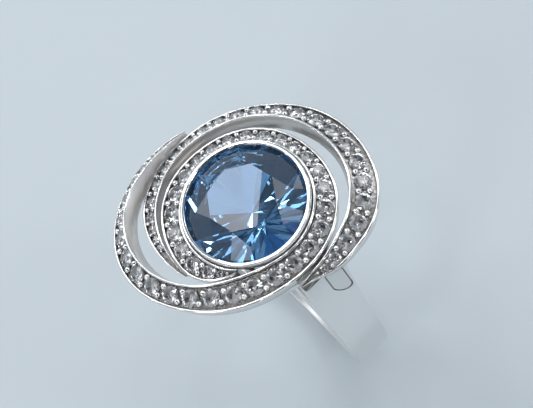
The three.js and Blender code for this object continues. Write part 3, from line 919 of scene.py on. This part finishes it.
def build_floor():
    """Pale square that the ring stands on, a hair below it."""
    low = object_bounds()[0]
    size = FLOOR_HALF_SIZE * MM
    mesh = bpy.data.meshes.new("floor")
    corners = [(-size, -size), (size, -size), (size, size), (-size, size)]
    mesh.from_pydata([(x, y, low.z - FLOOR_GAP * MM) for x, y in corners], [], [(0, 1, 2, 3)])
    floor = bpy.data.objects.new("floor", mesh)
    bpy.context.scene.collection.objects.link(floor)
    mesh.materials.append(principled("pale_floor", FLOOR_COLOR, 0.7)[0])


def heading(azimuth, elevation):
    a, e = math.radians(azimuth), math.radians(elevation)
    return Vector((math.sin(a) * math.cos(e), -math.cos(a) * math.cos(e), math.sin(e)))


def build_world():
    """Pale room that is darker overhead, with a dark patch of ceiling on the camera's side."""
    world = bpy.data.worlds.new("studio")
    bpy.context.scene.world = world
    world.use_nodes = True
    nodes, links = world.node_tree.nodes, world.node_tree.links
    background = nodes["Background"]
    place = nodes.new("ShaderNodeTexCoord")
    split = nodes.new("ShaderNodeSeparateXYZ")
    links.new(place.outputs["Generated"], split.inputs["Vector"])
    room = nodes.new("ShaderNodeValToRGB")
    links.new(split.outputs["Z"], room.inputs["Fac"])
    links.new(room.outputs["Color"], background.inputs["Color"])
    stops = room.color_ramp.elements
    stops[0].position, stops[0].color = 0.0, (*ROOM_LOW, 1)
    stops[1].position, stops[1].color = 1.0, (*ROOM_HIGH, 1)
    middle = stops.new(ROOM_TURN)
    middle.color = (*ROOM_MIDDLE, 1)
    toward = nodes.new("ShaderNodeVectorMath")
    toward.operation = "DOT_PRODUCT"
    toward.inputs[1].default_value = heading(*DARK_HEADING)
    links.new(place.outputs["Generated"], toward.inputs[0])
    shade = nodes.new("ShaderNodeMapRange")
    shade.interpolation_type = "SMOOTHSTEP"
    shade.inputs["From Min"].default_value = math.cos(math.radians(DARK_OUTER))
    shade.inputs["From Max"].default_value = math.cos(math.radians(DARK_INNER))
    shade.inputs["To Min"].default_value = ROOM_STRENGTH
    shade.inputs["To Max"].default_value = ROOM_STRENGTH * DARK_SHARE
    links.new(toward.outputs["Value"], shade.inputs["Value"])
    links.new(shade.outputs["Result"], background.inputs["Strength"])


def build_lights():
    """Rectangular lamps that all face the ring: soft boxes, strips and sparks."""
    strips = [((azimuth, STRIP_ELEVATION), 0, STRIP_SIZE, STRIP_RADIANCE, WHITE)
              for azimuth in STRIP_HEADINGS]
    low, high = SPARK_ELEVATIONS
    sparks = [((GOLDEN_ANGLE * k, low + (high - low) * (k + 0.5) / SPARKS), 0,
               SPARK_SIZE, SPARK_RADIANCE, WHITE) for k in range(SPARKS)]
    for index, (view, turn, size, radiance, color) in enumerate(SOFT_BOXES + strips + sparks):
        light = bpy.data.lights.new(f"soft_box_{index + 1}", "AREA")
        light.shape = "RECTANGLE"
        light.size, light.size_y = size[0] * MM, size[1] * MM
        light.energy = radiance * math.pi * size[0] * size[1] * MM * MM
        light.color = color
        lamp = bpy.data.objects.new(light.name, light)
        back = heading(*view)
        lamp.location = Vector((0, 0, LAMP_TARGET_HEIGHT * MM)) + back * LAMP_DISTANCE * MM
        lamp.rotation_mode = "QUATERNION"
        roll = Matrix.Rotation(math.radians(turn), 3, "Z").to_quaternion()
        lamp.rotation_quaternion = back.to_track_quat("Z", "Y") @ roll
        bpy.context.scene.collection.objects.link(lamp)


def build_camera():
    """Camera of the photograph, which looks down past the middle of the bezel's lip."""
    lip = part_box("bezel_cup")[1].z
    back = heading(CAMERA_AZIMUTH, CAMERA_ELEVATION)
    level = back.to_track_quat("Z", "Y")
    turn = level @ Matrix.Rotation(math.radians(-CAMERA_ROLL), 3, "Z").to_quaternion()
    right = turn @ Vector((1, 0, 0))
    up = turn @ Vector((0, 1, 0))
    aim = Vector((0, 0, lip)) + (right * AIM_RIGHT + up * AIM_UP) * MM
    data = bpy.data.cameras.new("camera")
    data.lens = CAMERA_LENS
    data.sensor_width = 36.0
    data.clip_start = 0.005
    data.clip_end = 5.0
    camera = bpy.data.objects.new("camera", data)
    camera.rotation_mode = "QUATERNION"
    camera.rotation_quaternion = turn
    camera.location = aim + back * CAMERA_DISTANCE * MM
    bpy.context.scene.collection.objects.link(camera)
    bpy.context.scene.camera = camera


# ---------- making ----------

build_camera()
build_world()
build_lights()
bpy.context.scene.view_settings.view_transform = "Standard"
for spec in (SPIRAL_BAND, ARC_BAND):
    band = Band(spec)
    row = row_of_stones(band)
    build_band(band, row)
    build_beads(band, row)
    for index, (node, _, place) in enumerate(row):
        name = f"{spec['stones']}_cut_{index + 1:02d}"
        set_stone(name, place, PAVE_TURN * index, clear_stone, "clear_stone", [node] if node else [])
set_stone("centre_stone_cut", stone_place("centre_stone"), CENTRE_TURN, blue_stone, "blue_stone",
          ["centre_stone"])
build_bezel()
build_basket()
build_shank()
build_floor()
